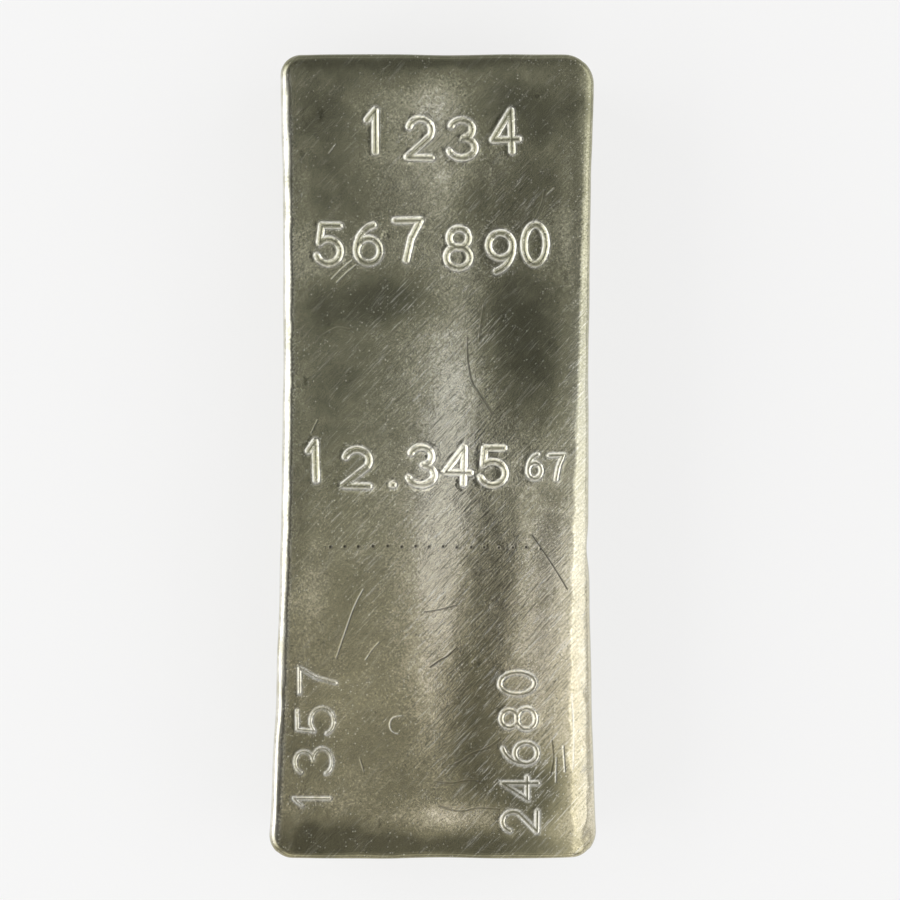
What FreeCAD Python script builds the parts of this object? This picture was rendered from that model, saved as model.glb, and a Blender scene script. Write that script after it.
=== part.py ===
"""Cast silver bar, one solid. Millimetres, +Z up.

The bar lies on its flat base. Its length runs along Y, with the head end at +Y. The origin is at the
middle of the base. The sides lean out from the base to the poured face, so that the bar leaves its mould,
and both long sides draw in a little between the ends. The poured face is dished where the metal shrank,
and falls away to a soft shoulder along the +X side.
"""

import FreeCAD
import Part

import math
import os

# Driving sizes of the bar. Widths and length are those of the poured face before any rounding.
bar_length = 278.0
bar_height = 47.7
foot_width = 115.0  # at the -Y end
head_width = 109.4  # at the +Y end
head_shift = 1.2  # the middle of the head end lies this far to +X
side_draw_in = 2.8  # how far the middle of each long side lies inside a straight side
draft_angle = 5.0  # lean of every side, in degrees from upright

# Rounding
foot_left_radius = 8.0  # the four upright corners, seen from above
foot_right_radius = 9.0
head_left_radius = 7.0
head_right_radius = 10.0
rim_radius = 3.6  # between the poured face and the sides
base_radius = 6.0  # between the base and the sides
corner_share = 0.9  # the most of the tightest upright corner that a rounding along its end may take

# Relief of the poured face
dish_depth = 1.6  # shrinkage along the middle of the face
dish_flat_share = 0.5  # share of the half length over which the dish keeps its depth
shoulder_drop = 1.1  # fall at the +X edge
shoulder_width = 16.0  # how far in from the +X edge the fall begins

# The grid of points that carries the poured face
points_across = 29
points_along = 25
overhang = 12.0  # how far cutting tools reach past the bar

block_top = bar_height + overhang / 2
lean = math.tan(math.radians(draft_angle))
left, right = -1, 1


def draft_inset(z):
    """How far the sides lie inside the poured face's outline, at height z."""
    return (bar_height - z) * lean


def leaning_block():
    """A block with the two leaning ends, wider than the bar."""
    low, high = bar_length / 2 - draft_inset(0), bar_length / 2 - draft_inset(block_top)
    reach = max(foot_width, head_width) / 2 + abs(head_shift) + overhang
    outline = Part.makePolygon(
        [
            FreeCAD.Vector(-reach, -low, 0),
            FreeCAD.Vector(-reach, low, 0),
            FreeCAD.Vector(-reach, high, block_top),
            FreeCAD.Vector(-reach, -high, block_top),
            FreeCAD.Vector(-reach, -low, 0),
        ]
    )
    return Part.Face(outline).extrude(FreeCAD.Vector(2 * reach, 0, 0))


def long_side_tool(side):
    """The cone that cuts one long side, to its shallow curve and its lean. side is left or right."""
    foot = FreeCAD.Vector(side * foot_width / 2, -bar_length / 2, bar_height)
    head = FreeCAD.Vector(head_shift + side * head_width / 2, bar_length / 2, bar_height)
    waist = (foot + head) * 0.5 - FreeCAD.Vector(side * side_draw_in, 0, 0)
    circle = Part.Arc(foot, waist, head).toShape().Curve
    centre = FreeCAD.Vector(circle.Center.x, circle.Center.y, 0)
    return Part.makeCone(
        circle.Radius + draft_inset(0), circle.Radius + draft_inset(block_top), block_top, centre
    )


def smooth_step(t):
    """0 below t = 0, 1 above t = 1, and a smooth rise between them."""
    t = min(1.0, max(0.0, t))
    return t * t * (3 - 2 * t)


def half_width_at(y):
    """Half of the poured face's straight-sided width at y."""
    share = min(1.0, max(0.0, y / bar_length + 0.5))
    return (foot_width + (head_width - foot_width) * share) / 2


def face_height(x, y):
    """Height of the poured face: a long shallow dish, and the shoulder at the +X edge."""
    half_width = half_width_at(y)
    along = abs(y) / (bar_length / 2)
    fade = 1 - smooth_step((along - dish_flat_share) / (1 - dish_flat_share))
    dish = dish_depth * fade * (1 - smooth_step(abs(x) / half_width))
    shoulder_start = half_width - shoulder_width
    shoulder = shoulder_drop * max(0.0, (x - shoulder_start) / shoulder_width) ** 2
    return bar_height - dish - shoulder


def above_the_face():
    """Everything over the poured face, as one block to cut away."""
    reach_x = max(foot_width, head_width) / 2 + abs(head_shift) + overhang
    reach_y = bar_length / 2 + overhang
    rows = []
    for i in range(points_across):
        x = reach_x * (2 * i / (points_across - 1) - 1)
        row = []
        for j in range(points_along):
            y = reach_y * (2 * j / (points_along - 1) - 1)
            row.append(FreeCAD.Vector(x, y, face_height(x, y)))
        rows.append(row)
    surface = Part.BSplineSurface()
    surface.interpolate(rows)
    return surface.toShape().extrude(FreeCAD.Vector(0, 0, 2 * overhang))


def corner_edge(solid, x_side, y_side):
    """The upright edge of one corner, the furthest out that way."""
    upright = [edge for edge in solid.Edges if edge.BoundBox.ZLength > bar_height / 2]
    return max(upright, key=lambda e: x_side * e.BoundBox.Center.x + y_side * e.BoundBox.Center.y)


def largest_face(solid, direction):
    """The largest face whose middle looks up (direction 1) or down (direction -1)."""

    def looks_that_way(face):
        u_low, u_high, v_low, v_high = face.ParameterRange
        return direction * face.normalAt((u_low + u_high) / 2, (v_low + v_high) / 2).z > 0.9

    return max(filter(looks_that_way, solid.Faces), key=lambda face: face.Area)


def edge_radius(wanted):
    """The radius of a rounding around the bar, limited by the tightest upright corner that it turns."""
    tightest = min(foot_left_radius, foot_right_radius, head_left_radius, head_right_radius)
    return min(wanted, corner_share * tightest)

def build_bar():
    """The leaning sides, then the upright corners, the base edge, the poured face and its rim."""
    bar = leaning_block().cut(long_side_tool(left)).cut(long_side_tool(right))
    corners = [
        (left, -1, foot_left_radius),
        (right, -1, foot_right_radius),
        (left, 1, head_left_radius),
        (right, 1, head_right_radius),
    ]
    for x_side, y_side, radius in corners:
        bar = bar.makeFillet(radius, [corner_edge(bar, x_side, y_side)])
    bar = bar.makeFillet(edge_radius(base_radius), largest_face(bar, -1).Edges)
    bar = bar.cut(above_the_face())
    bar = bar.makeFillet(edge_radius(rim_radius), largest_face(bar, 1).Edges)
    return bar.Solids[0]


def main():
    os.makedirs("parts", exist_ok=True)
    bar = build_bar()
    bar.exportStep(os.path.join("parts", "silver_bar.step"))
    print("valid", bar.isValid(), "volume_cm3", round(bar.Volume / 1000, 2), "faces", len(bar.Faces))


main()
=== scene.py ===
"""Looks of a cast silver bar: the poured face with its struck numerals, the mould sides and the finish.

Shapes are worked out in millimetres, in the frame of the construction, and turn into metres in the mesh.
The bar lies on its base with its length along Y. The head end, where the first row stands, is at +Y.
"""

import math

import bpy
import numpy as np
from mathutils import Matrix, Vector, geometry, kdtree


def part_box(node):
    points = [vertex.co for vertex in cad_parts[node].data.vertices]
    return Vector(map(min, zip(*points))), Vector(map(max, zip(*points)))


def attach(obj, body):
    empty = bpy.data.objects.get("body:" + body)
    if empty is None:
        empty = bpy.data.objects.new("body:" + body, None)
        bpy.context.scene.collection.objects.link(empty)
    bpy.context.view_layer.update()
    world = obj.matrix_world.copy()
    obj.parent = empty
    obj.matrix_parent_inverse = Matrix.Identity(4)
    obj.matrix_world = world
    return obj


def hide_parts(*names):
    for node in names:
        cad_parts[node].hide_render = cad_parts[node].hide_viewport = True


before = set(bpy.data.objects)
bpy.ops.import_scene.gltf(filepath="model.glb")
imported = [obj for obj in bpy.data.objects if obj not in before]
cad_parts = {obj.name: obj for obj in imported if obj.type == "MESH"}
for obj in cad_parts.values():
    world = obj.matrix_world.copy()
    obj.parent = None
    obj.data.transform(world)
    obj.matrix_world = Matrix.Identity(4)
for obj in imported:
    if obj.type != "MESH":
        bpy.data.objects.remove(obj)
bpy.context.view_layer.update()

MM = 0.001
left, right = -1, 1
foot, head = -1, 1

# ---- The cast body ----

box_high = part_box("silver_bar")[1] / MM
draft = math.radians(5.0)  # lean of every side
lean = math.tan(draft)
solid_rim_radius = 3.6  # of the construction; the finished rim's own is rim_radius_at
base_radius = 6.0  # between the base and the sides
# What the rounding of the rim takes off the construction's outline
rim_setback = solid_rim_radius * (lean + 1 / math.cos(draft) - 1)
bar_height = box_high.z
half_length = box_high.y + rim_setback
foot_width = 115.0
head_width = 109.4
head_shift = 1.2  # the middle of the head end lies this far to +X
side_draw_in = 2.8  # how far the long sides draw in between the ends
corner_radius = {(right, foot): 9.0, (right, head): 10.0, (left, head): 7.0, (left, foot): 8.0}

# Steps of the mesh around the bar and up its sides
end_steps = 80
side_steps = 208
corner_steps = 14
base_steps = 5
wall_steps = 18
rim_steps = 10
rim_passes = 12  # of working out where the rim's rounding ends
slope_step = 0.4


def smooth_step(t):
    """0 below t = 0, 1 above t = 1, and a smooth rise between them."""
    t = np.clip(t, 0.0, 1.0)
    return t * t * (3 - 2 * t)


def bell(distance, width):
    """1 at no distance, falling to nothing a few widths away."""
    return np.exp(-((distance / width) ** 2))


def wave_field(seed, count, shortest, longest, slope):
    """A smooth uneven surface, made of waves in every direction. slope is its usual steepness."""
    random = np.random.default_rng(seed)
    heading = random.uniform(0, math.tau, count)
    length = np.exp(random.uniform(math.log(shortest), math.log(longest), count))
    phase = random.uniform(0, math.tau, count)
    turn = math.tau / length
    height = slope * math.sqrt(2 / count) / turn

    def height_at(x, y):
        total = np.zeros_like(x)
        for i in range(count):
            along = x * math.cos(heading[i]) + y * math.sin(heading[i])
            total += height[i] * np.sin(turn[i] * along + phase[i])
        return total

    return height_at


def circle_through(a, b, c):
    """Centre and radius of the circle through three points."""
    across = np.array([b - a, c - a]) * 2
    lengths = np.array([b @ b - a @ a, c @ c - a @ a])
    centre = np.linalg.solve(across, lengths)
    return centre, np.linalg.norm(centre - a)


def side_circle(side):
    """The circle that one long side of the poured outline follows."""
    start = np.array([side * foot_width / 2, -half_length])
    end = np.array([head_shift + side * head_width / 2, half_length])
    waist = (start + end) / 2 - np.array([side * side_draw_in, 0.0])
    return circle_through(start, waist, end)


def draft_inset(z):
    """How far the sides lie inside the poured outline, at height z."""
    return (bar_height - z) * lean


def corner_arc(x_side, y_end, inset):
    """Centre of one upright corner, and the direction in which it meets the long side."""
    centre, radius = side_circle(x_side)
    turn = corner_radius[x_side, y_end]
    y = y_end * (half_length - inset - turn)
    reach = radius + inset + turn
    x = centre[0] - x_side * math.sqrt(reach**2 - (y - centre[1]) ** 2)
    middle = np.array([x, y])
    return middle, (centre - middle) / reach


def plan_ring(inset):
    """Points around the bar and the directions out of it, at one inset from the poured outline."""
    points, ways = [], []
    order = [(right, foot), (right, head), (left, head), (left, foot)]
    for i, (x_side, y_end) in enumerate(order):
        turn = corner_radius[x_side, y_end]
        middle, to_side = corner_arc(x_side, y_end, inset)
        side_angle = math.atan2(to_side[1], to_side[0])
        end_angle = y_end * math.pi / 2
        along_side_next = x_side * y_end < 0
        first, last = (end_angle, side_angle) if along_side_next else (side_angle, end_angle)
        first, last = first % math.tau, last % math.tau
        if last < first:
            last += math.tau
        angles = np.linspace(first, last, corner_steps + 1)
        out = np.stack([np.cos(angles), np.sin(angles)], axis=1)
        points.append(middle + turn * out)
        ways.append(out)
        next_corner = order[(i + 1) % 4]
        next_middle, next_to_side = corner_arc(*next_corner, inset)
        next_turn = corner_radius[next_corner]
        steps = side_steps if along_side_next else end_steps
        share = np.linspace(0, 1, steps + 1)[1:-1, None]
        if along_side_next:
            centre, radius = side_circle(x_side)
            start, end = middle + turn * to_side, next_middle + next_turn * next_to_side
            straight = start + (end - start) * share
            outward = centre - straight
            outward /= np.linalg.norm(outward, axis=1, keepdims=True)
            points.append(centre - outward * (radius + inset))
            ways.append(outward)
        else:
            outward = np.array([0.0, y_end])
            start, end = middle + turn * outward, next_middle + next_turn * outward
            points.append(start + (end - start) * share)
            ways.append(np.repeat(outward[None], steps - 1, axis=0))
    return np.concatenate(points), np.concatenate(ways)


# ---- The poured face ----

dish_depth = 2.0  # shrinkage along the middle of the face
dish_flat_share = 0.62  # share of the half length over which the dish keeps its depth
dish_line_y = [-139, -110, -60, -35, -10, 40, 139]
dish_line_x = [-1, -2, -1, 1, 7, 5, 2]  # the dish's lowest line wanders from side to side
shoulder_y = [-139, -110, -20, 20, 60, 139]
shoulder_drop = [3.2, 3.4, 2.4, 1.2, 0.9, 0.7]  # fall at the +X edge, from the foot end to the head end
shoulder_width = [34, 38, 30, 15, 12, 10]
roll_y = [-139, -105, -30, 30, 95, 139]  # near the long sides the face rolls over
right_roll_drop = [6.4, 5.6, 3.6, 1.9, 0.8, 0.6]
right_roll_width = [9.2, 9.0, 6.2, 4.0, 3.0, 3.0]
left_roll_drop = [0.6, 0.7, 1.6, 1.8, 1.6, 0.9]
left_roll_width = 3.4
roll_power = 1.5
roll_edge_from = 2.5  # nearer to the side than this, the roll's edge can't wander
roll_edge_to = 6.0

swell = wave_field(seed=5, count=26, shortest=24, longest=60, slope=0.007)
cast_skin = wave_field(seed=11, count=40, shortest=5, longest=16, slope=0.007)
roll_edge = wave_field(seed=13, count=30, shortest=3.5, longest=20, slope=0.26)
wall_waves = wave_field(seed=19, count=24, shortest=14, longest=60, slope=0.016)
wall_laps = wave_field(seed=23, count=18, shortest=6, longest=16, slope=0.02)
lip_waves = wave_field(seed=31, count=14, shortest=2.2, longest=6, slope=0.4)


def half_width_at(y):
    """Half of the poured face's straight-sided width at y."""
    share = np.clip(y / (2 * half_length) + 0.5, 0, 1)
    return (foot_width + (head_width - foot_width) * share) / 2


def side_gap(side, x, y):
    """How far points lie inside the curve of one long side."""
    centre, radius = side_circle(side)
    return np.hypot(x - centre[0], y - centre[1]) - radius


def roll(gap, width, drop):
    """Fall of the face where it rolls over towards a long side."""
    return drop * np.maximum(0.0, (width - gap) / width) ** roll_power


def poured_height(x, y):
    """Height of the poured face before anything was struck into it."""
    half_width = half_width_at(y)
    along = np.abs(y) / half_length
    fade = 1 - smooth_step((along - dish_flat_share) / (1 - dish_flat_share))
    off_line = np.abs(x - np.interp(y, dish_line_y, dish_line_x))
    dish = dish_depth * fade * (1 - smooth_step(off_line / half_width))
    width = np.interp(y, shoulder_y, shoulder_width)
    drop = np.interp(y, shoulder_y, shoulder_drop)
    shoulder = drop * np.maximum(0.0, (x - half_width + width) / width) ** 2
    right_width = np.interp(y, roll_y, right_roll_width)
    right_gap = side_gap(right, x, y)
    wander = smooth_step((right_gap - roll_edge_from) / (roll_edge_to - roll_edge_from))
    right_gap = right_gap - roll_edge(x, y) * wander * right_width / right_roll_width[0]
    right_roll = roll(right_gap, right_width, np.interp(y, roll_y, right_roll_drop))
    left_gap = side_gap(left, x, y) - roll_edge(x, y) * 0.25
    left_roll = roll(left_gap, left_roll_width, np.interp(y, roll_y, left_roll_drop))
    return bar_height - dish - shoulder - right_roll - left_roll + swell(x, y) + cast_skin(x, y)


# ---- The struck numerals ----


def bow(centre, radii, start, end):
    """Points along a round stretch of a numeral. Its angles are in degrees, anticlockwise from +X."""
    angles = np.radians(np.linspace(start, end, max(6, int(abs(end - start) / 12))))
    return [(centre[0] + radii[0] * math.cos(a), centre[1] + radii[1] * math.sin(a)) for a in angles]


# Each numeral is a few strokes in a cell one unit wide and one unit high
numeral_strokes = {
    "0": [bow((0.5, 0.5), (0.5, 0.5), 0, 360)],
    "1": [[(0.0, 0.76), (0.62, 1.0), (0.62, 0.0)]],
    "2": [bow((0.5, 0.7), (0.48, 0.3), 165, -32) + [(0.0, 0.0), (1.0, 0.0)]],
    "3": [bow((0.47, 0.755), (0.43, 0.245), 160, -78) + bow((0.48, 0.265), (0.52, 0.265), 78, -160)],
    "4": [[(0.74, 0.0), (0.74, 1.0), (0.0, 0.3), (1.0, 0.3)]],
    "5": [[(0.92, 1.0), (0.16, 1.0), (0.08, 0.54)] + bow((0.46, 0.32), (0.52, 0.32), 128, -158)],
    "6": [bow((0.5, 0.32), (0.5, 0.32), 180, 540), bow((0.92, 0.36), (0.92, 0.64), 180, 104)],
    "7": [[(0.0, 1.0), (1.0, 1.0), (0.62, 0.55), (0.4, 0.0)]],
    "8": [bow((0.5, 0.76), (0.41, 0.24), 0, 360), bow((0.5, 0.27), (0.5, 0.27), 0, 360)],
    "9": [bow((0.5, 0.68), (0.5, 0.32), 0, 360), bow((0.08, 0.64), (0.92, 0.64), 0, -76)],
    ".": [[(0.4, 0.0), (0.6, 0.0)]],
}


class Punch:
    """What a set of punches leaves in the metal: a groove with a floor, two walls and raised lips."""

    def __init__(self, floor, wall, depth, lip, rows):
        self.floor = floor  # half width of the groove's floor
        self.wall = wall  # width of each wall, seen from above
        self.depth = depth
        self.lip = lip  # height of the metal pushed up beside the groove
        self.rows = rows  # how far from the stroke the mesh has its rows of points

    def profile(self, distance, sharpness):
        """Height left at a distance from the stroke, and how far inside the groove that is."""
        edge = self.floor + self.wall
        up_the_wall = np.clip((distance - self.floor) / self.wall, 0, 1)
        inside = 1 - 0.65 * up_the_wall - 0.35 * smooth_step(up_the_wall)
        lip = self.lip * bell(distance - edge - 0.35, 0.42) * sharpness
        return lip - self.depth * inside, inside


broad = Punch(floor=0.15, wall=1.0, depth=0.56, lip=0.07, rows=[0.0, 0.2, 0.5, 0.82, 1.12, 1.5, 2.0])
middle_size = Punch(floor=0.2, wall=0.62, depth=0.36, lip=0.04, rows=[0.0, 0.22, 0.42, 0.62, 0.85, 1.2, 1.6])
fine = Punch(floor=0.08, wall=0.5, depth=0.28, lip=0.03, rows=[0.0, 0.22, 0.42, 0.62, 0.95, 1.3])

upright, sideways = 0.0, 90.0

# Rows of numerals: the punch set, the way they read, and for each numeral its middle, its width and its
# height. They were struck one at a time by hand, so no two stand quite in line.
struck_rows = [
    (broad, upright, [
        ("1", -20.8, 112.3, 4.6, 14.4),
        ("2", -4.8, 109.9, 8.4, 13.4),
        ("3", 9.8, 109.6, 8.7, 13.0),
        ("4", 24.6, 112.2, 8.8, 14.2),
    ]),
    (broad, upright, [
        ("5", -36.1, 73.1, 8.0, 13.2),
        ("6", -22.6, 73.4, 8.2, 13.4),
        ("7", -8.9, 74.6, 8.8, 13.8),
        ("8", 8.5, 71.9, 8.2, 13.7),
        ("9", 23.0, 70.4, 8.4, 13.7),
        ("0", 34.9, 73.2, 7.7, 13.7),
    ]),
    (broad, upright, [
        ("1", -41.3, -1.6, 3.8, 13.4),
        ("2", -26.6, -3.9, 8.8, 12.6),
        (".", -14.2, -9.3, 2.0, 1.0),
        ("3", -4.2, -3.3, 8.7, 13.0),
        ("4", 8.3, -3.0, 8.6, 12.8),
        ("5", 20.6, -3.5, 8.6, 12.8),
    ]),
    (middle_size, upright, [
        ("6", 34.8, -3.4, 4.6, 8.6),
        ("7", 42.4, -3.8, 4.8, 8.4),
    ]),
    (fine, sideways, [
        ("1", -42.2, -118.6, 4.4, 12.6),
        ("3", -41.6, -105.2, 8.6, 12.8),
        ("5", -40.9, -91.1, 8.8, 12.6),
        ("7", -40.2, -77.3, 8.8, 12.4),
    ]),
    (middle_size, sideways, [
        ("2", 29.6, -126.0, 7.0, 12.0),
        ("4", 29.7, -114.6, 7.6, 12.2),
        ("6", 29.6, -102.4, 7.2, 12.2),
        ("8", 29.1, -90.6, 7.2, 12.0),
        ("0", 28.8, -78.4, 7.6, 12.2),
    ]),
]


class Stroke:
    """A line on the poured face, with its points close together."""

    def __init__(self, points, pitch=0.55):
        corners = np.array(points, dtype=float)
        lengths = np.linalg.norm(np.diff(corners, axis=0), axis=1)
        reached = np.concatenate([[0.0], np.cumsum(lengths)])
        steps = max(1, int(round(reached[-1] / pitch)))
        at = np.unique(np.concatenate([np.linspace(0, reached[-1], steps + 1), reached]))
        self.points = np.stack([np.interp(at, reached, corners[:, k]) for k in (0, 1)], axis=1)
        self.corners = corners

    def distance(self, x, y):
        """How far points lie from the line."""
        nearest = np.full(x.shape, np.inf)
        for (x0, y0), (x1, y1) in zip(self.corners[:-1], self.corners[1:]):
            dx, dy = x1 - x0, y1 - y0
            share = np.clip(((x - x0) * dx + (y - y0) * dy) / (dx * dx + dy * dy), 0, 1)
            nearest = np.minimum(nearest, np.hypot(x - x0 - share * dx, y - y0 - share * dy))
        return nearest

    def rows(self, offsets):
        """Points in rows beside the line, and in fans around its ends."""
        ahead = np.gradient(self.points, axis=0)
        ahead /= np.linalg.norm(ahead, axis=1, keepdims=True)
        beside = np.stack([-ahead[:, 1], ahead[:, 0]], axis=1)
        made = [self.points + side * offset * beside for offset in offsets for side in (left, right)]
        for tip, way in ((self.points[0], -ahead[0]), (self.points[-1], ahead[-1])):
            heading = math.atan2(way[1], way[0])
            for offset in offsets[1:]:
                angles = heading + np.linspace(-1.2, 1.2, max(3, int(offset * 4)))
                made.append(tip + offset * np.stack([np.cos(angles), np.sin(angles)], axis=1))
        return np.concatenate(made)


most_uneven = 0.045  # share of the depth that it changes by for each millimetre across a numeral
lightest_blow, hardest_blow = 0.85, 1.12
most_turned = 2.2  # degrees
numeral_margin = 5.5  # how far beyond a numeral its lips and spatter may reach
lip_usual, lip_uneven = 0.7, 1.6


class Numeral:
    """One numeral struck by hand: a little turned, and deeper on one side than on the other."""

    def __init__(self, punch, reading, sign, x, y, width, height, random):
        self.punch = punch
        self.middle = np.array([x, y])
        self.reach = math.hypot(width, height) / 2 + numeral_margin
        self.uneven = random.uniform(-most_uneven, most_uneven, 2)
        self.force = random.uniform(lightest_blow, hardest_blow)
        turn = math.radians(reading + random.uniform(-most_turned, most_turned))
        c, s = math.cos(turn), math.sin(turn)
        self.strokes = []
        for stroke in numeral_strokes[sign]:
            cell = (np.array(stroke) - 0.5) * (width, height)
            self.strokes.append(Stroke(self.middle + cell @ np.array([[c, s], [-s, c]])))

    def mark(self, x, y):
        """Height, groove share and distance from the strokes, at points near the numeral."""
        distance = np.full(x.shape, np.inf)
        for stroke in self.strokes:
            distance = np.minimum(distance, stroke.distance(x, y))
        lip_share = np.clip(lip_usual + lip_waves(x, y) * lip_uneven, 0.1, 1.9)
        height, inside = self.punch.profile(distance, lip_share)
        slant = (x - self.middle[0]) * self.uneven[0] + (y - self.middle[1]) * self.uneven[1]
        return height * np.clip(self.force * (1 + slant), 0.25, 1.5), inside, distance

    def rows(self):
        return np.concatenate([stroke.rows(self.punch.rows) for stroke in self.strokes])


def strike_all():
    """All the numerals, in the order in which they were struck."""
    random = np.random.default_rng(3)
    return [
        Numeral(punch, reading, *place, random)
        for punch, reading, places in struck_rows
        for place in places
    ]


numerals = strike_all()

# ---- Cracks, scratches, pricks and dents ----


def eased(points):
    """A bent line with its corners cut off twice."""
    line = np.array(points, dtype=float)
    for _ in range(2):
        early = line[:-1] * 0.75 + line[1:] * 0.25
        late = line[:-1] * 0.25 + line[1:] * 0.75
        between = np.stack([early, late], axis=1).reshape(-1, 2)
        line = np.concatenate([line[:1], between[1:-1], line[-1:]])
    return line


class Nick:
    """A narrow cut along a line: a crack that is black inside, or a scratch that is bare metal."""

    def __init__(self, points, half_width, depth, black, shine):
        self.stroke = Stroke(eased(points), pitch=0.7)
        self.half_width = half_width
        self.depth = depth
        self.black = black
        self.shine = shine

    def share(self, x, y):
        return 1 - smooth_step(self.stroke.distance(x, y) / self.half_width)


crack_width = 0.5
crack_depth = 0.06

# Cracks: their line, and how black each is
crack_lines = [
    ([(38.3, 91.9), (37.4, 87.6), (35.9, 84.0), (34.2, 80.8)], 0.8),
    ([(11.4, 41.2), (11.3, 35.0), (12.1, 29.1), (12.9, 25.4), (15.5, 21.8), (20.0, 14.6)], 0.6),
    ([(17.2, 52.6), (16.0, 45.2), (15.5, 40.0)], 0.6),
    ([(33.8, -27.2), (38.2, -33.5), (42.6, -40.3), (45.9, -45.8)], 1.0),
    ([(-3.5, -53.7), (1.6, -53.0), (7.6, -51.3)], 0.7),
    ([(-1.4, -72.7), (2.0, -70.2), (4.5, -69.2), (7.6, -66.1)], 0.9),
    ([(5.2, -106.8), (9.0, -105.6), (12.4, -102.6), (18.6, -100.9), (22.8, -97.4)], 0.7),
    ([(0.6, -112.3), (6.3, -113.0), (11.8, -111.5), (17.0, -112.6)], 0.6),
    ([(1.5, -120.6), (8.5, -122.8), (15.0, -121.0), (22.5, -121.8)], 0.5),
    ([(40.6, -98.0), (41.4, -104.5), (40.2, -110.0)], 0.6),
    ([(-38.0, 42.0), (-33.5, 44.8), (-29.0, 43.6)], 0.4),
]
cracks = [Nick(points, crack_width, crack_depth, black, 0) for points, black in crack_lines]

# Scratches: their line, half width and depth, and how black and how shiny each is
scratches = [
    Nick([(-24.5, -45.8), (-27.6, -51.5), (-30.6, -60.2), (-33.8, -69.6)], 0.34, 0.07, 0, 0.9),
    Nick([(-19.0, -64.1), (-21.2, -66.4), (-23.8, -70.3)], 0.34, 0.07, 0, 0.8),
    Nick([(-28.3, 67.7), (-31.8, 64.8), (-35.4, 61.2)], 0.4, 0.1, 0.2, 0.5),
    Nick([(-26.9, 66.2), (-30.4, 63.2), (-33.6, 60.0)], 0.4, 0.09, 0.2, 0.5),
    Nick([(-11.2, -89.6), (-14.3, -89.9), (-15.6, -92.6), (-14.6, -95.3), (-12.4, -95.8)],
         0.4, 0.12, 0, 0.9),
    Nick([(41.4, 92.6), (38.8, 90.2)], 0.36, 0.08, 0, 0.7),
    Nick([(-36.4, 104.5), (-34.0, 107.8)], 0.34, 0.07, 0, 0.7),
    Nick([(-25.6, -104.6), (-24.3, -108.8)], 0.34, 0.07, 0, 0.5),
    Nick([(-42.5, 8.0), (-40.2, 12.6)], 0.34, 0.07, 0, 0.5),
    Nick([(44.6, -100.0), (45.2, -109.0)], 0.5, 0.12, 0, 0.8),
    Nick([(47.6, -82.0), (48.4, -96.0), (48.0, -108.0)], 0.5, 0.12, 0, 0.9),
    Nick([(42.2, -104.0), (42.0, -112.5)], 0.45, 0.1, 0, 0.8),
]
nicks = cracks + scratches

prick_start = np.array([-35.5, -31.0])
prick_end = np.array([36.9, -31.6])
prick_count = 16
prick_radius = 0.9
prick_depth = 0.15
prick_ring = 0.0  # the punch pushed up no metal around them
prick_black = 1.0
prick_drift = 0.16

dent_floor = 0.3  # share of a dent's radius that is its flat floor

# Dents: middle, radius, depth, and height of the ring pushed up around them
dents = [
    (-41.1, 117.8, 3.4, 0.07, 0.05),
    (-16.9, 76.0, 1.9, 0.12, 0.02),
    (36.2, 124.3, 1.2, -0.14, 0.0),
    (-47.0, 104.0, 2.6, 0.06, 0.02),
    (-8.4, -86.0, 2.4, 0.05, 0.02),
    (14.0, -71.0, 2.2, 0.05, 0.02),
    (-9.5, -93.0, 1.6, 0.05, 0.02),
    (-20.0, -126.5, 2.2, 0.05, 0.02),
    (44.0, 62.0, 2.8, 0.06, 0.02),
    (-46.0, 26.0, 2.6, 0.06, 0.02),
]


def prick_places():
    """The row of punch pricks across the face. They drift a little off their line and their pitch."""
    random = np.random.default_rng(8)
    share = np.linspace(0, 1, prick_count)[:, None]
    return prick_start + (prick_end - prick_start) * share + random.normal(0, prick_drift, (prick_count, 2))


pricks = prick_places()


groove_grime = 0.8  # how grimy a numeral's floor is
# Bright lips beside the numerals: partly rubbed polish, partly painted highlight.
lip_shine, lip_shine_width = 0.9, 0.45
spatter_width = 2.6  # bright spatter lies this far around a numeral
ring_width_share = 0.35  # of a dent's radius


def raise_to(held, near, values):
    """Raises what is held at some of the points to new values, where those are higher."""
    held[near] = np.maximum(held[near], values)


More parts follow.
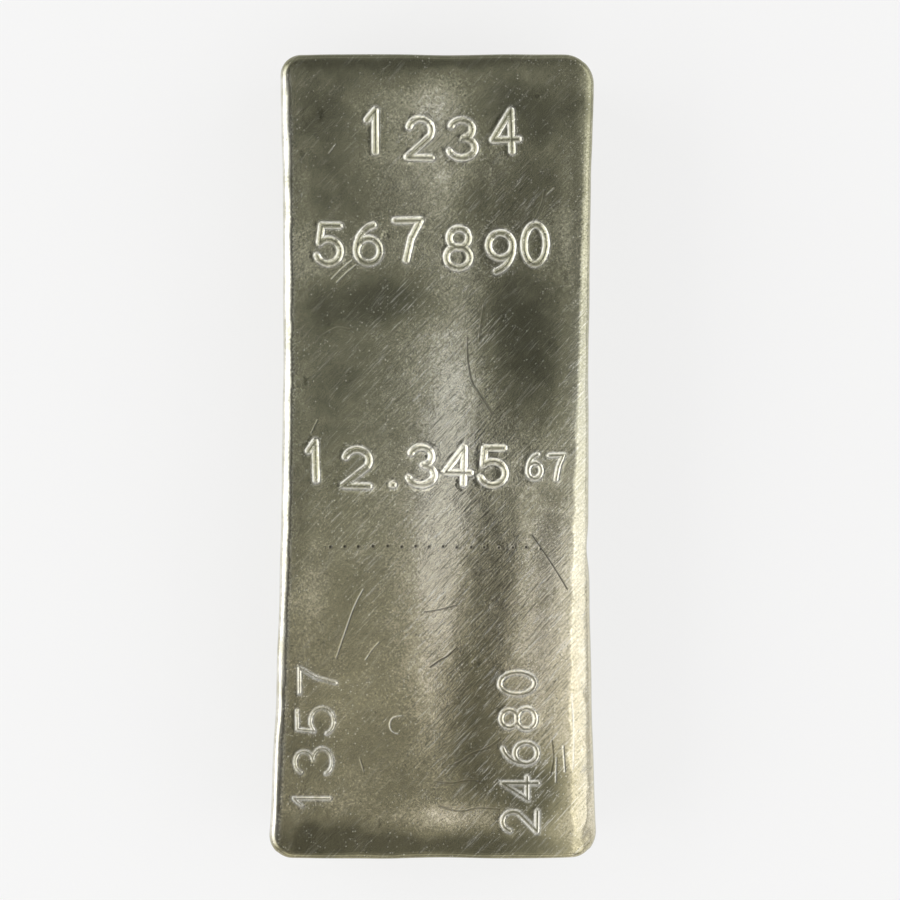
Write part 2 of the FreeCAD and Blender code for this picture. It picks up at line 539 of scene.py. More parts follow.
class FaceMarks:
    """Height of the finished face, and how grimy, black or shiny the marks in it are."""

    def __init__(self, x, y):
        self.x, self.y = x, y
        self.height = poured_height(x, y)
        self.grime = np.zeros_like(x)
        self.black = np.zeros_like(x)
        self.shine = np.zeros_like(x)
        self.spatter = np.zeros_like(x)
        for numeral in numerals:
            self.strike(numeral)
        for nick in nicks:
            self.cut(nick)
        for place in pricks:
            self.dent(place[0], place[1], prick_radius, prick_depth, prick_ring, prick_black)
        for x_dent, y_dent, radius, depth, ring in dents:
            self.dent(x_dent, y_dent, radius, depth, ring, 0)

    def strike(self, numeral):
        near = np.hypot(self.x - numeral.middle[0], self.y - numeral.middle[1]) < numeral.reach
        if not near.any():
            return
        height, inside, distance = numeral.mark(self.x[near], self.y[near])
        self.height[near] += height
        edge = numeral.punch.floor + numeral.punch.wall
        raise_to(self.grime, near, groove_grime * smooth_step(inside * 1.6 - 0.6))
        raise_to(self.shine, near, lip_shine * bell(distance - edge, lip_shine_width))
        raise_to(self.spatter, near, bell(distance, spatter_width))

    def cut(self, nick):
        points = nick.stroke.corners
        margin = nick.half_width + 0.5
        near = (self.x > points[:, 0].min() - margin) & (self.x < points[:, 0].max() + margin)
        near &= (self.y > points[:, 1].min() - margin) & (self.y < points[:, 1].max() + margin)
        if not near.any():
            return
        share = nick.share(self.x[near], self.y[near])
        self.height[near] -= nick.depth * share
        raise_to(self.black, near, nick.black * share)
        raise_to(self.shine, near, nick.shine * share)

    def dent(self, x, y, radius, depth, ring, black):
        distance = np.hypot(self.x - x, self.y - y)
        hollow = 1 - smooth_step((distance / radius - dent_floor) / (1 - dent_floor))
        self.height -= depth * hollow
        self.height += ring * bell(distance - radius, radius * ring_width_share)
        self.black = np.maximum(self.black, black * hollow)


def face_normals(x, y):
    """Directions straight out of the finished face."""
    step = 0.06
    slope_x = (FaceMarks(x + step, y).height - FaceMarks(x - step, y).height) / (2 * step)
    slope_y = (FaceMarks(x, y + step).height - FaceMarks(x, y - step).height) / (2 * step)
    normals = np.stack([-slope_x, -slope_y, np.ones_like(x)], axis=1)
    return normals / np.linalg.norm(normals, axis=1, keepdims=True)


# ---- Sides and rim ----

right_rim_notch_y = -32.0
right_rim_notch_depth = 0.9
right_rim_notch_width = 6.0
ends_apart = 400.0  # keeps the waves of the ends unlike those of the long sides
lap_length = 0.25  # laps run long around the bar
calm_below = 8.0  # the sides are plain near the base
end_rim_radius = 2.2
right_rim_extra = 0.6
right_foot_rim_extra = 0.6
left_rim_extra = 0.2


def wall_relief(x, y, z, ways):
    """How far the mould side stands out at a point: shallow waves, and laps where the pour stopped."""
    around = np.where(np.abs(ways[:, 0]) > np.abs(ways[:, 1]), y, x + ends_apart)
    waves = wall_waves(around, z) + wall_laps(around * lap_length, z)
    on_right = ways[:, 0] > 0.5
    notch = on_right * right_rim_notch_depth * bell(y - right_rim_notch_y, right_rim_notch_width)
    rise = smooth_step(z / bar_height * 1.6)
    return waves * smooth_step(z / calm_below) - notch * rise


def rim_radius_at(points, ways):
    """The rim's radius: soft along +X, most so near the foot end, tighter along -X, tightest at the ends."""
    x, y = points[:, 0], points[:, 1]
    to_right = smooth_step(ways[:, 0])
    to_left = smooth_step(-ways[:, 0])
    to_foot = smooth_step(0.5 - y / half_length)
    uneven = wave_field(seed=41, count=12, shortest=9, longest=40, slope=0.05)
    right_extra = (right_rim_extra + right_foot_rim_extra * to_foot) * to_right
    return end_rim_radius + right_extra + left_rim_extra * to_left + uneven(x, y)


within_outline = 1  # drops most triangles outside the outline; beyond_outline finds the rest
same_place = 1e-6


class BarMesh:
    """The whole bar as one closed skin: rings from the base up to the rim, then the face and the base."""

    def __init__(self):
        self.points = []
        self.faces = []
        self.ring_size = 0

    def add_ring(self, xy, z):
        self.points.append(np.column_stack([xy, z]))
        self.ring_size = len(xy)

    def wall_rings(self, top_z):
        """Rings up the base rounding and the leaning side. top_z is where the rim's rounding starts."""
        centre_inset = draft_inset(base_radius) + base_radius / math.cos(draft)
        for angle in np.linspace(math.pi / 2, draft, base_steps, endpoint=False):
            z = base_radius * (1 - math.sin(angle))
            inset = centre_inset - base_radius * math.cos(angle)
            self.side_ring(np.full(top_z.shape, z), inset - draft_inset(z))
        first_z = base_radius * (1 - math.sin(draft))
        for share in np.linspace(0, 1, wall_steps, endpoint=False):
            self.side_ring(first_z + (top_z - first_z) * share, 0.0)

    def side_ring(self, z, extra_inset):
        mean_inset = draft_inset(float(z.mean()))
        xy, ways = plan_ring(mean_inset)
        inward = extra_inset + draft_inset(z) - mean_inset
        xy = xy - ways * inward[:, None]
        xy = xy + ways * wall_relief(xy[:, 0], xy[:, 1], z, ways)[:, None]
        self.add_ring(xy, z)

    def rim_shape(self):
        """Centre, radius and last angle of the rim's rounding at each point around the bar."""
        xy, ways = plan_ring(0.0)
        radius = rim_radius_at(xy, ways)
        c, s = math.cos(draft), math.sin(draft)
        end = -radius  # where the rounding meets the poured face, out from the outline
        for _ in range(rim_passes):
            beside = [xy + ways * (end + step)[:, None] for step in (-slope_step, slope_step)]
            low, high = (poured_height(p[:, 0], p[:, 1]) for p in beside)
            slope = np.clip((high - low) / (2 * slope_step), -1.1, 0.1)
            edge_height = (low + high) / 2 - slope * end
            tilt = np.sqrt(1 + slope**2)
            u = (-radius + (edge_height - bar_height - radius * tilt) * s) / (c - slope * s)
            last_angle = np.arctan2(1, -slope)
            end = (end + u + radius * np.cos(last_angle)) / 2
        z = edge_height + slope * u - radius * tilt
        return u, z, radius, last_angle

    def rim_rings(self, u, z, radius, last_angle):
        mean_inset = draft_inset(float(z.mean()))
        xy, ways = plan_ring(mean_inset)
        for k in range(rim_steps + 1):
            angle = -draft + (last_angle + draft) * k / rim_steps
            out = u + radius * np.cos(angle) + mean_inset
            ring = xy + ways * out[:, None]
            height = z + radius * np.sin(angle)
            share = (1 - k / rim_steps) ** 0.5
            ring = ring + ways * (wall_relief(ring[:, 0], ring[:, 1], z, ways) * share)[:, None]
            self.add_ring(ring, height)
        last = self.points[-1]
        miss = poured_height(last[:, 0], last[:, 1]) - last[:, 2]
        for k in range(rim_steps + 1):
            self.points[k - rim_steps - 1][:, 2] += miss * (k / rim_steps) ** 2

    def ring_faces(self):
        count = len(self.points)
        index = np.arange(self.ring_size)
        after = (index + 1) % self.ring_size
        for level in range(count - 1):
            a, b = level * self.ring_size + index, level * self.ring_size + after
            c, d = b + self.ring_size, a + self.ring_size
            self.faces.append(np.stack([a, b, c], axis=1))
            self.faces.append(np.stack([a, c, d], axis=1))

    def cap(self, ring_start, inner, flip):
        """Fills a ring with triangles through the inner points. Returns the inner points that are used."""
        ring = np.concatenate(self.points)[ring_start:ring_start + self.ring_size, :2]
        every = np.concatenate([ring, inner])
        loop = list(range(self.ring_size))
        edges = [(i, (i + 1) % self.ring_size) for i in loop]
        corners = [Vector(p) for p in every]
        result = geometry.delaunay_2d_cdt(corners, edges, [loop], within_outline, same_place, True)
        source = np.array([ids[0] for ids in result[3]])
        triangles = source[np.array(result[2])]
        triangles = triangles[~beyond_outline(triangles, every, ring)]
        used = np.unique(triangles[triangles >= self.ring_size]) - self.ring_size
        place = np.full(len(inner), -1)
        start = sum(len(p) for p in self.points)
        place[used] = start + np.arange(len(used))
        lookup = np.concatenate([ring_start + np.arange(self.ring_size), place])
        triangles = lookup[triangles]
        self.faces.append(triangles[:, ::-1] if flip else triangles)
        return inner[used]


def beyond_outline(triangles, points, ring):
    """Marks triangles that fill hollows of the outline from outside. They touch only the ring's points."""
    beyond = (triangles < len(ring)).all(axis=1)
    middle = points[triangles[beyond]].mean(axis=1)
    inside = np.zeros(len(middle), dtype=bool)
    for start, end in zip(ring, np.roll(ring, -1, axis=0)):
        passes = (start[1] > middle[:, 1]) != (end[1] > middle[:, 1])
        share = (middle[passes, 1] - start[1]) / (end[1] - start[1]) if passes.any() else 0.0
        inside[passes] ^= middle[passes, 0] < start[0] + share * (end[0] - start[0])
    beyond[beyond] = ~inside
    return beyond


def search_tree(points):
    """Finds the nearest of many points quickly."""
    tree = kdtree.KDTree(len(points))
    for i, (x, y) in enumerate(points):
        tree.insert((x, y, 0.0), i)
    tree.balance()
    return tree


def inside_ring(points, ring, ways, margin):
    """Keeps the points that lie at least margin inside a ring."""
    tree = search_tree(ring)
    nearest = np.array([tree.find((x, y, 0.0))[1] for x, y in points])
    depth = ((ring[nearest] - points) * ways[nearest]).sum(axis=1)
    return points[depth > margin]


def thin_out(points, gap):
    """Drops each point that lies within gap of one kept before it."""
    kept, taken = [], {}
    for x, y in points:
        column, row = int(x // gap), int(y // gap)
        close = False
        for i in (column - 1, column, column + 1):
            for j in (row - 1, row, row + 1):
                for ox, oy in taken.get((i, j), ()):
                    close = close or (x - ox) ** 2 + (y - oy) ** 2 < gap * gap
        if not close:
            taken.setdefault((column, row), []).append((x, y))
            kept.append((x, y))
    return np.array(kept)


def staggered_grid(half_x, half_y, pitch):
    """Points over a rectangle, every second row moved by half a step."""
    rows = np.arange(-half_y, half_y, pitch * math.sqrt(3) / 2)
    columns = np.arange(-half_x, half_x, pitch)
    x = columns[None, :] + (np.arange(len(rows)) % 2)[:, None] * pitch / 2
    y = np.repeat(rows[:, None], len(columns), axis=1)
    return np.stack([x.ravel(), y.ravel()], axis=1)


face_pitch = 1.0
grid_clearance = 0.62 * face_pitch  # between the grid and the rows along the marks
mark_gap = 0.2
nick_rows = [0.0, 0.28, 0.56]
prick_rings = (0.3, 0.6, 0.9)
prick_spokes = 10
rim_clearance = 0.55  # between the face's points and the rim
base_pitch = 5.0
base_half = (60.0, 140.0)


def face_points():
    """Points over the poured face: rows along every mark, and an even grid between them."""
    rows = [numeral.rows() for numeral in numerals]
    rows += [nick.stroke.rows(nick_rows) for nick in nicks]
    for x, y in pricks:
        rows.append(np.array([(x, y)]))
        for radius in prick_rings:
            angles = np.linspace(0, math.tau, prick_spokes, endpoint=False)
            rows.append(np.stack([x + radius * np.cos(angles), y + radius * np.sin(angles)], axis=1))
    marks = thin_out(np.concatenate(rows), mark_gap)
    tree = search_tree(marks)
    grid = staggered_grid(foot_width / 2, half_length, face_pitch)
    apart = np.array([tree.find((x, y, 0.0))[2] for x, y in grid])
    return np.concatenate([marks, grid[apart > grid_clearance]])


def skin_normals(points, faces):
    """Directions straight out of the skin at every point, from the faces around it."""
    a, b, c = (points[faces[:, k]] for k in range(3))
    across = np.cross(b - a, c - a)
    normals = np.zeros_like(points)
    for k in range(3):
        np.add.at(normals, faces[:, k], across)
    return normals / np.linalg.norm(normals, axis=1, keepdims=True)


def build_skin():
    """Points, faces and normals of the whole bar, and which points are inside the poured face."""
    bar = BarMesh()
    u, z, radius, last_angle = bar.rim_shape()
    bar.wall_rings(z - radius * math.sin(draft))
    bar.rim_rings(u, z, radius, last_angle)
    bar.ring_faces()
    ring_total = len(bar.points) * bar.ring_size
    top_start = ring_total - bar.ring_size
    top_ring = bar.points[-1][:, :2]
    ways = plan_ring(0.0)[1]
    face_xy = inside_ring(face_points(), top_ring, ways, rim_clearance)
    face_xy = bar.cap(top_start, face_xy, False)
    bar.points.append(np.column_stack([face_xy, FaceMarks(face_xy[:, 0], face_xy[:, 1]).height]))
    base_grid = staggered_grid(*base_half, base_pitch)
    base_xy = inside_ring(base_grid, bar.points[0][:, :2], ways, base_pitch / 2)
    base_xy = bar.cap(0, base_xy, True)
    bar.points.append(np.column_stack([base_xy, np.zeros(len(base_xy))]))
    points = np.concatenate(bar.points)
    faces = np.concatenate(bar.faces)
    normals = skin_normals(points, faces)
    face_range = slice(ring_total, ring_total + len(face_xy))
    normals[face_range] = face_normals(face_xy[:, 0], face_xy[:, 1])
    normals[top_start:ring_total] = face_normals(top_ring[:, 0], top_ring[:, 1])
    return points, faces, normals, face_range


# ---- Tarnish, brushing and wear over the face, with painted shade and painted highlight ----

tarnish_below = 7.0  # the patches run this far down over the rim

# Patches: middle, half sizes, and how strong they are. They fade out softly.
# The tarnish patches are partly real tarnish and partly painted shade: the dark strips along both ends and
# some dark zones stand for the dark room that the metal reflects.
tarnish_and_shade_patches = [
    (35, 120, 22, 12, 0.9),
    (38, 96, 12, 12, 0.55),
    (-38, 116, 14, 20, 0.8),
    (-10, 132, 26, 7, 0.4),
    (36, 38, 14, 36, 0.72),
    (24, 46, 9, 18, 0.35),
    (-18, 54, 16, 9, 0.95),
    (-41, 50, 8, 11, 0.5),
    (-34, 22, 16, 26, 0.55),
    (-34, 88, 16, 12, 0.45),
    (14, 88, 9, 10, 0.5),
    (-36, -132, 20, 7, 0.85),
    (0, 138, 64, 4, 0.9),
    (14, -98, 9, 30, 0.5),
    (-46, -30, 4, 24, 0.3),
    (-12, -106, 15, 24, 0.3),
    (-28, -50, 20, 62, 0.35),
    (36, -116, 15, 14, 1.2),
    (-45, -104, 11, 26, 0.45),
    (10, -135, 50, 5, 0.8),
]
# The clean patches are partly clean metal and partly painted highlight: the bright band down the middle and
# the bright patch at the foot corner on +X are painted reflections of the lamps.
clean_and_highlight_patches = [
    (2, 120, 9, 12, 0.6),
    (3, 97, 9, 10, 0.3),
    (6, 24, 11, 30, 0.6),
    (4, -12, 11, 22, 0.7),
    (1, -45, 9, 28, 0.8),
    (0, -84, 8, 22, 0.35),
    (40, -52, 16, 42, 0.6),
    (30, -2, 12, 12, 0.3),
    (50, -118, 9, 20, 0.6),
    (8, -124, 16, 4.5, 0.75),
    (-44, -50, 5, 18, 0.3),
    (-25, 0, 12, 14, 0.2),
]
# Brushed patches: real brushing, laid over the middle band and the +X edge, where their bright lines also
# paint the highlight.
brushed_and_highlight_patches = [
    (5, 32, 24, 36, 1.0),
    (2, 108, 14, 18, 0.6),
    (4, -50, 20, 40, 0.8),
    (32, -60, 22, 50, 0.8),
    (18, -110, 30, 26, 0.45),
    (50, 20, 9, 44, 1.0),
    (50, -110, 9, 26, 0.7),
    (-30, -20, 16, 40, 0.35),
    (30, 88, 16, 14, 0.5),
]


def patchwork(patches, x, y):
    """How strongly the patches cover each point."""
    total = np.zeros_like(x)
    for middle_x, middle_y, half_x, half_y, strength in patches:
        cover = np.exp(-(((x - middle_x) / half_x) ** 2) - ((y - middle_y) / half_y) ** 2)
        total += strength * cover
    return total


# Bright edges: partly rubbed wear, partly painted highlight of the rim strips.
edge_wear_and_highlight_reach = {left: 5.0, right: 9.0}  # from the long sides
edge_wear_and_highlight_most = {left: 0.95, right: 0.32}
right_edge_bright_to_y = 75.0  # towards the head end the right edge keeps its tarnish
right_edge_bright_fade = 60.0
end_bright_from = 3.0  # from the ends
end_bright_fade = 8.0
brightened_facing = 0.45  # skin that faces upwards less than this is brightened less
poured_facing = 0.1  # skin that faces upwards more than this begins to look poured
poured_fade = 0.5


def edge_wear_and_highlight(x, y, up):
    """How far the long edges of the poured face are painted bright, partly as rubbed wear and partly as a
    painted highlight of the rim strips that the side lamps light. up is how far the skin faces upwards.
    """
    near_side = np.zeros_like(x)
    for side, reach in edge_wear_and_highlight_reach.items():
        share = edge_wear_and_highlight_most[side] * (1 - smooth_step((side_gap(side, x, y) - 1) / (reach - 1)))
        if side == right:
            share *= smooth_step((right_edge_bright_to_y - y) / right_edge_bright_fade)
        near_side = np.maximum(near_side, share)
    off_end = smooth_step((half_length - end_bright_from - np.abs(y)) / end_bright_fade)
    return near_side * smooth_step(up / brightened_facing) * off_end


def add_values(mesh, name, values):
    """Stores one number for each point of the mesh, for the finish to read."""
    mesh.attributes.new(name, "FLOAT", "POINT").data.foreach_set("value", values.astype(np.float32))


def put_in_scene(name, data):
    """Makes an object of a mesh, a lamp or a camera."""
    made = bpy.data.objects.new(name, data)
    bpy.context.scene.collection.objects.link(made)
    return made


def make_bar():
    """The bar as one piece, with its normals and what its finish needs to know."""
    points, faces, normals, face_range = build_skin()
    mesh = bpy.data.meshes.new("cast_bar")
    mesh.from_pydata((points * MM).tolist(), [], faces.tolist())
    mesh.validate()
    x, y, z = points.T
    marks = FaceMarks(x[face_range], y[face_range])
    for name in ("grime", "black", "shine", "spatter"):
        values = np.zeros(len(points))
        values[face_range] = getattr(marks, name)
        if name == "shine":
            # Bright long edges: partly rubbed wear, partly painted highlight.
            values = np.maximum(values, edge_wear_and_highlight(x, y, normals[:, 2]))
        add_values(mesh, name, values)
    poured = smooth_step((normals[:, 2] - poured_facing) / poured_fade)
    add_values(mesh, "poured", poured)
    on_top = np.maximum(poured, smooth_step((z - bar_height) / tarnish_below + 1))
    # Tarnish less the clean patches: real tarnish together with painted shade and painted highlight.
    tarnish_and_painted_light = patchwork(tarnish_and_shade_patches, x, y) - patchwork(clean_and_highlight_patches, x, y)
    add_values(mesh, "tarnish_and_painted_light", tarnish_and_painted_light * on_top)
    add_values(mesh, "brushed_and_highlight", patchwork(brushed_and_highlight_patches, x, y) * poured)
    mesh.shade_smooth()
    mesh.normals_split_custom_set_from_vertices(normals.tolist())
    return put_in_scene("cast_bar", mesh)


# ---- Finishes ----


class Tone:
    """A value or a colour inside a finish. Sums written with it become nodes."""

    def __init__(self, finish, socket):
        self.finish = finish
        self.socket = socket

    def __add__(self, other):
        return self.finish.sum_of("ADD", self, other)

    def __radd__(self, other):
        return self.finish.sum_of("ADD", other, self)

    def __sub__(self, other):
        return self.finish.sum_of("SUBTRACT", self, other)

    def __rsub__(self, other):
        return self.finish.sum_of("SUBTRACT", other, self)

    def __mul__(self, other):
        return self.finish.sum_of("MULTIPLY", self, other)

    def __rmul__(self, other):
        return self.finish.sum_of("MULTIPLY", other, self)

    def __truediv__(self, other):
        return self.finish.sum_of("DIVIDE", self, other)

    def __pow__(self, other):
        return self.finish.sum_of("POWER", self, other)

    def has_parts(self):
        """True for a colour or a vector."""
        return self.socket.type in ("VECTOR", "RGBA")


class Finish:
    """The nodes of one material, or of the world."""

    def __init__(self, owner):
        self.owner = owner
        owner.use_nodes = True
        self.tree = owner.node_tree
        self.tree.nodes.clear()

    def node(self, kind, settings, sockets):
        """Adds a node: its own settings first, then a value or a link for each socket."""
        made = self.tree.nodes.new("ShaderNode" + kind)
        for name, value in settings.items():
            setattr(made, name, value)
        for name, value in sockets.items():
            if isinstance(value, Tone):
                self.tree.links.new(value.socket, made.inputs[name])
            else:
                made.inputs[name].default_value = value
        return made

    def tone(self, kind, settings, sockets, output=0):
        """Adds a node and gives one of its outputs."""
        return Tone(self, self.node(kind, settings, sockets).outputs[output])

    def sum_of(self, operation, a, b):
        """One step of a sum. Colours and vectors keep their parts."""
        has_parts = any(isinstance(v, tuple) or (isinstance(v, Tone) and v.has_parts()) for v in (a, b))
        kind = "VectorMath" if has_parts else "Math"
        if has_parts:
            a, b = ((v, v, v) if isinstance(v, (int, float)) else v for v in (a, b))
        return self.tone(kind, {"operation": operation}, {0: a, 1: b})

    def ramp(self, value, low, high, start=0.0, end=1.0):
        """A smooth rise from start to end as the value goes from low to high."""
        sockets = {"Value": value, "From Min": low, "From Max": high, "To Min": start, "To Max": end}
        return self.tone("MapRange", {"interpolation_type": "SMOOTHSTEP"}, sockets)

    def blend(self, share, first, second):
        """A colour between two others."""
        return self.tone("Mix", {"data_type": "RGBA"}, {0: share, 6: first, 7: second}, 2)

    def noise(self, place, scale, detail=2.0, roughness=0.5, distortion=0.0):
        sockets = {"Vector": place, "Scale": scale, "Detail": detail}
        sockets.update({"Roughness": roughness, "Distortion": distortion})
        return self.tone("TexNoise", {"noise_dimensions": "3D"}, sockets)

    def stored(self, name):
        """A number stored in the mesh."""
        return self.tone("Attribute", {"attribute_name": name}, {}, "Fac")

    def end(self, kind, shader):
        self.node(kind, {}, {"Surface": shader})


def silver_tone(value, green, blue):
    """A colour of the metal: how much red it gives back, and its green and blue as shares of that."""
    return (value, value * green, value * blue, 1.0)


bright_silver = silver_tone(0.95, 0.985, 0.91)
clean_silver = silver_tone(0.82, 0.975, 0.805)
worn_silver = silver_tone(0.58, 0.97, 0.715)
tarnished_silver = silver_tone(0.34, 0.98, 0.655)
dark_tarnish = silver_tone(0.17, 1.0, 0.66)
crack_black = silver_tone(0.03, 0.95, 0.85)
plain_tint = (1.0, 1.0, 1.12)  # the sides are less yellow
warm_tint = (1.07, 1.0, 0.93)  # the tarnish is browner towards the foot end
warm_from, warm_to = 0.03, -0.09  # along Y, in metres
brush_angle = math.radians(-47.0)

# How fine each part of the silver's look is: the larger, the finer
brush_fineness = (130.0, 1600.0, 200.0)  # along, across and through the lines
brush_waver = (0.0, 1.2, 0.0)
lap_fineness = (22.0, 22.0, 380.0)
lap_waver = (0.0, 0.0, 7.0)
bend_fineness = 14.0
cloud_fineness = 26.0
brush_edge_fineness = 55.0
mottle_fineness = 130.0
pit_fineness = 1050.0
fleck_fineness = 1250.0
grain_fineness = 1300.0

# Relief too fine for the mesh, in millimetres
line_relief, brushed_line_relief = 0.01, 0.026
lap_relief = 0.1
grain_relief, spatter_relief = 0.024, 0.03
mottle_relief = 0.03
pit_depth = 0.02
fleck_height = 0.02

clean_roughness, tarnished_roughness = 0.14, 0.25
usual_cover = 0.63  # of tarnish, where no patch adds to it or takes from it
wall_cover = 0.36


def silver_finish():
    """Cast silver: tarnished in patches with painted shade and painted highlight among them, brushed across,
    pitted, grimy in its marks, bright on its edges and lips, partly as painted highlight.
    """
    silver = Finish(bpy.data.materials.new("tarnished_silver"))
    place = silver.tone("TexCoord", {}, {}, "Object")
    tarnish_and_painted_light = silver.stored("tarnish_and_painted_light")
    brushed_and_highlight = silver.stored("brushed_and_highlight")
    grime = silver.stored("grime")
    black = silver.stored("black")
    shine = silver.stored("shine")
    spatter = silver.stored("spatter")
    poured = silver.stored("poured")

    # Brushing: thin lines, laid askew over the face. Where the brushed patches lie, over the middle band and
    # the +X edge, their bright lines are partly a painted highlight.
    bend = silver.noise(place, bend_fineness, 1.0) - 0.5
    turn_sockets = {"Vector": place, "Angle": brush_angle}
    turned = silver.tone("VectorRotate", {"rotation_type": "Z_AXIS"}, turn_sockets)
    lines = silver.noise(turned * brush_fineness + bend * brush_waver, 1.0, 3.0, 0.6)
    brush_edge = silver.noise(place, brush_edge_fineness, 3.0)
    brush_and_highlight_share = silver.ramp(brushed_and_highlight + brush_edge - 0.5, 0.1, 0.75)

    # Sides: laps that the metal left as it rose in the mould
    wall = 1.0 - poured
    laps = silver.noise(place * lap_fineness + bend * lap_waver, 1.0, 4.0, 0.6)

    # Grain of the casting, pits, and bright flecks
    grain = silver.noise(place, grain_fineness, 2.0, 0.6)
    mottle = silver.noise(place, mottle_fineness, 5.0, 0.65, 0.4)
    clouds = silver.noise(place, cloud_fineness, 5.0, 0.6, 0.6)
    pits = silver.ramp(silver.noise(place, pit_fineness, 1.0, 0.5), 0.66, 0.76)
    fleck_sockets = {"Vector": place, "Scale": fleck_fineness}
    fleck_distance = silver.tone("TexVoronoi", {}, fleck_sockets, "Distance")
    fleck_pick = silver.tone("TexVoronoi", {}, fleck_sockets, "Color")
    fleck_chance = silver.tone("SeparateColor", {}, {0: fleck_pick}, 0)
    fleck_chance = fleck_chance + spatter * 0.35 + brush_and_highlight_share * 0.1 + (mottle - 0.5) * 1.2
    flecks = silver.ramp(fleck_distance, 0.42, 0.2) * silver.ramp(fleck_chance, 0.8, 1.05) * poured

    # How much tarnish covers the metal, with the painted shade and painted highlight of the patches. The
    # sides are calmer.
    cover = tarnish_and_painted_light * 0.85 + (clouds - 0.5) * 0.7 + (mottle - 0.5) * 0.6 + usual_cover
    cover = cover * (1.0 - wall * 0.6) + wall * ((laps - 0.5) * 0.3 + wall_cover)
    grainy = cover + (grain - 0.5) * (1.1 - 0.8 * wall)

    # Colour, from the metal up through tarnish with its painted shade and highlight, brushing, grime, pits,
    # wear with painted highlight, and flecks to the cracks
    colour = silver.blend(silver.ramp(grainy, 0.0, 0.5), clean_silver, worn_silver)
    colour = silver.blend(silver.ramp(grainy, 0.4, 0.95), colour, tarnished_silver)
    colour = silver.blend(silver.ramp(cover, 0.85, 1.4), colour, dark_tarnish)
    along = silver.tone("SeparateXYZ", {}, {0: place}, "Y")
    colour = silver.blend(silver.ramp(along, warm_from, warm_to) * poured, colour, colour * warm_tint)
    dark_lines = silver.ramp(lines, 0.46, 0.3) * (0.15 + 0.35 * brush_and_highlight_share) * poured
    colour = silver.blend(dark_lines, colour, dark_tarnish)
    # Bright lines of the brushing, stronger in the brushed patches: partly painted highlight.
    bright_lines = silver.ramp(lines, 0.54, 0.7) * (0.12 + 0.4 * brush_and_highlight_share) * poured
    colour = silver.blend(bright_lines, colour, bright_silver)
    colour = silver.blend(wall, colour, colour * plain_tint)
    colour = silver.blend(grime * 0.5, colour, dark_tarnish)
    colour = silver.blend(pits * (0.6 - 0.3 * wall), colour, dark_tarnish)
    # Bright lips, bare scratches and bright edges; the lips and the edges are partly painted highlight.
    colour = silver.blend(shine * silver.ramp(mottle, 0.35, 0.6, 0.4, 0.85), colour, bright_silver)
    colour = silver.blend(flecks * 0.4, colour, bright_silver)
    colour = silver.blend(black * 0.95, colour, crack_black)

    roughness = silver.ramp(cover, 0.0, 1.2, clean_roughness, tarnished_roughness)
    roughness = roughness + (grain - 0.5) * 0.08 + grime * 0.06
    roughness = roughness + wall * 0.03 + black * 0.3

    relief = (lines - 0.5) * (line_relief + brushed_line_relief * brush_and_highlight_share) * poured
    relief = relief + (laps - 0.5) * lap_relief * wall
    relief = relief + (grain - 0.5) * (grain_relief + spatter_relief * spatter)
    relief = relief + (mottle - 0.5) * mottle_relief - pits * pit_depth + flecks * fleck_height
    normal = silver.tone("Bump", {}, {"Strength": 1.0, "Distance": MM, "Height": relief})

    sockets = {"Base Color": colour, "Roughness": roughness, "Metallic": 1.0, "Normal": normal}
    silver.end("OutputMaterial", silver.tone("BsdfPrincipled", {}, sockets))
    return silver.owner


floor_grey = (0.86, 0.86, 0.86, 1.0)
floor_white = 0.99
floor_glow_share = 0.7  # the rest of the floor's look is its own, with the bar's shadow on it


def floor_finish():
    """A plain pale floor. What looks at it, straight or in a reflection, sees it lifted towards white."""
    pale = Finish(bpy.data.materials.new("pale_floor"))
    plain = pale.tone("BsdfPrincipled", {}, {"Base Color": floor_grey, "Roughness": 0.9})
    glow = pale.tone("Emission", {}, {"Color": (1.0, 1.0, 1.0, 1.0), "Strength": floor_white})
    seen = pale.tone("LightPath", {}, {}, "Is Camera Ray") + pale.tone("LightPath", {}, {}, "Is Glossy Ray")
    seen = seen + pale.tone("LightPath", {}, {}, "Is Transmission Ray")
    pale.end("OutputMaterial", pale.tone("MixShader", {}, {0: seen * floor_glow_share, 1: plain, 2: glow}))
    return pale.owner


# ---- Studio ----

floor_half = 9.0
camera_height = 1.6  # above the poured face
frame_width = 0.3105  # of floor seen across the picture
camera_x = 0.0055
camera_y = 0.0022
zenith_level = 0.05
skyline_level = 0.42
overhead_from, overhead_to = 0.86, 0.99  # upwards, where the room begins to darken and is darkest

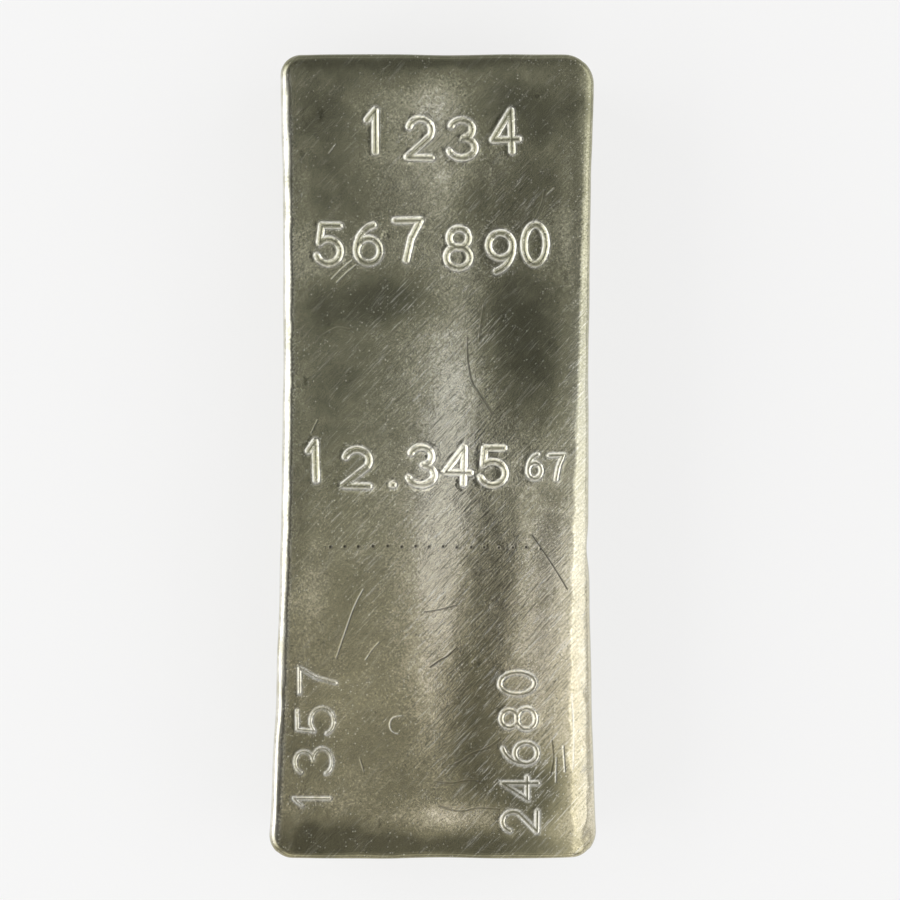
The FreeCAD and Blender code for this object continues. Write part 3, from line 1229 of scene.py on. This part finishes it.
# Lamps: name, middle, width and height, and watts. All of them aim at the middle of the poured face.
softboxes = [
    ("right_softbox", (1.75, 0.0, 1.05), (3.0, 1.7), 15.0),
    ("left_softbox", (-1.75, 0.0, 1.05), (3.0, 1.7), 25.0),
    ("foot_softbox", (0.0, -2.1, 1.1), (2.4, 1.2), 8.0),
    ("head_softbox", (0.0, 2.1, 1.1), (2.4, 1.2), 4.0),
    ("right_high", (0.78, -0.42, 2.0), (1.7, 1.2), 5.4),
    ("strip_above", (0.0, 0.0, 2.4), (0.15, 2.8), 1.5),
]


def make_floor():
    mesh = bpy.data.meshes.new("floor")
    corners = [(-1, -1), (1, -1), (1, 1), (-1, 1)]
    mesh.from_pydata([(x * floor_half, y * floor_half, 0.0) for x, y in corners], [], [(0, 1, 2, 3)])
    mesh.materials.append(floor_finish())
    put_in_scene("floor", mesh)


def softbox(name, place, size, watts):
    """A rectangular lamp. It lights the bar and shows in its shine, but not to the camera."""
    lamp = bpy.data.lights.new(name, "AREA")
    lamp.shape = "RECTANGLE"
    lamp.size = size[0]
    lamp.size_y = size[1]
    lamp.energy = watts
    box = put_in_scene(name, lamp)
    box.location = place
    aim = Vector((0.0, 0.0, bar_height * MM))
    box.rotation_euler = (aim - Vector(place)).to_track_quat("-Z", "Y").to_euler()
    box.visible_camera = False


def make_world():
    """Pale all round and darker overhead."""
    world = bpy.data.worlds.new("studio")
    bpy.context.scene.world = world
    sky = Finish(world)
    way = sky.tone("TexCoord", {}, {}, "Generated")
    up = sky.tone("SeparateXYZ", {}, {0: way}, "Z")
    level = sky.ramp(up, overhead_from, overhead_to, skyline_level, zenith_level)
    background = sky.tone("Background", {}, {"Color": (1.0, 0.99, 0.97, 1.0), "Strength": level})
    sky.end("OutputWorld", background)


def make_camera():
    """Straight above the bar, looking down on it, with the head end at the top of the picture."""
    camera = bpy.data.cameras.new("camera")
    camera.sensor_width = 36.0
    camera.lens = camera.sensor_width * camera_height / frame_width
    eye = put_in_scene("camera", camera)
    eye.location = (camera_x, camera_y, camera_height + bar_height * MM)
    bpy.context.scene.camera = eye


def main():
    bar = make_bar()
    bar.data.materials.append(silver_finish())
    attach(bar, "root")
    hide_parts("silver_bar")
    make_floor()
    for lamp in softboxes:
        softbox(*lamp)
    make_world()
    make_camera()
    bpy.context.scene.view_settings.view_transform = "Standard"


main()
